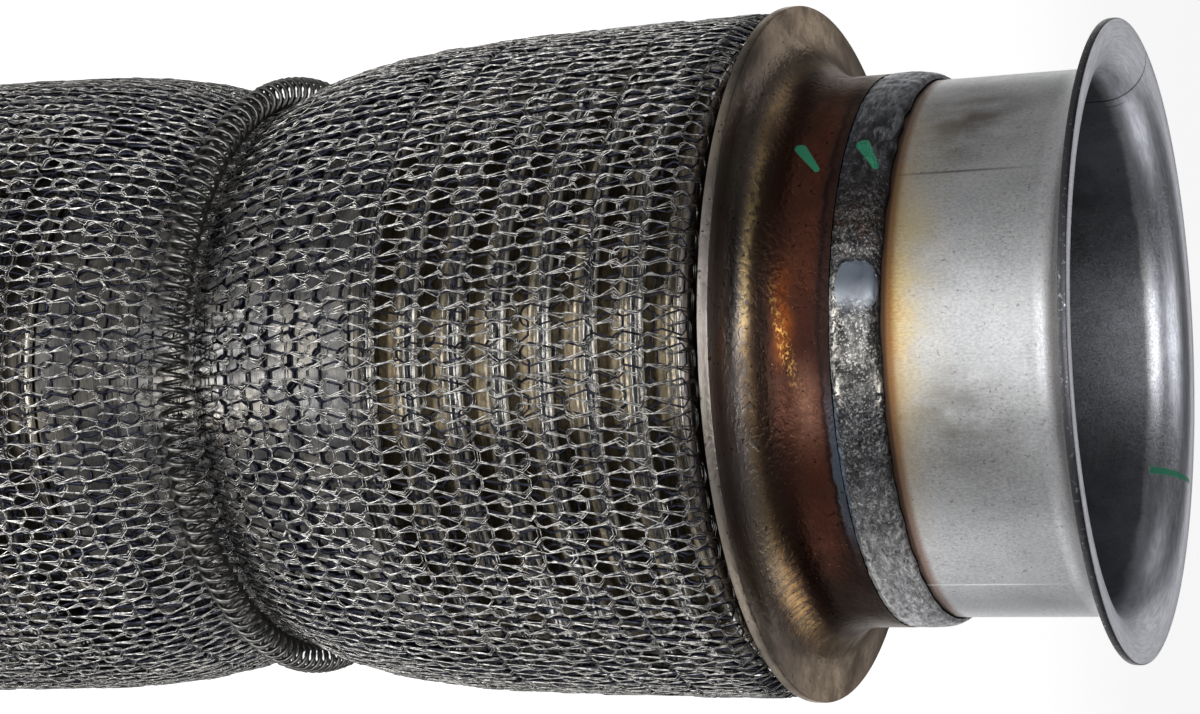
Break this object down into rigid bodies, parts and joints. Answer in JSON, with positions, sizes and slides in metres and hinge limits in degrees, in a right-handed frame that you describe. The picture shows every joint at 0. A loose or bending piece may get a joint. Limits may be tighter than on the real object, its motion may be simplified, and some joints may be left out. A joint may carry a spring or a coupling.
{
  "type": "exhaust flex pipe",
  "caption": "Heavy-duty exhaust flex pipe: flared stub pipes welded into flanged collars, joined by a double bellows inside a knitted wire sleeve with a garter spring round its waist.",
  "frame": {"origin": "centre of the lower flare's end face, on which the pipe stands", "axes": "+Z along the pipe's axis, from the lower flare to the upper flare"},
  "size_m": [0.134, 0.134, 0.341],
  "materials": {
    "stub_pipe": "satin mill finish, straw tint by the weld",
    "collar": "pressed sheet with bronze and copper heat tint",
    "weld_bead": "dark rippled weld with bright specks",
    "bellows": "bright formed strip",
    "middle_tube": "bright tube",
    "flow_liner": "satin tube",
    "mesh_sleeve": "knitted fine wire, dark between the loops",
    "garter_spring": "dark drawn spring wire"
  },
  "bodies": {
    "root": {"stub_pipe_upper": "stub_pipe", "stub_pipe_lower": "stub_pipe", "collar_upper": "collar", "collar_lower": "collar", "weld_bead_upper": "weld_bead", "weld_bead_lower": "weld_bead", "bellows_upper": "bellows", "bellows_lower": "bellows", "middle_tube": "middle_tube", "tube_weld_upper": "weld_bead", "tube_weld_lower": "weld_bead", "flow_liner_upper": "flow_liner", "flow_liner_lower": "flow_liner", "mesh_sleeve": "mesh_sleeve", "garter_spring": "garter_spring"}
  },
  "joints": []
}
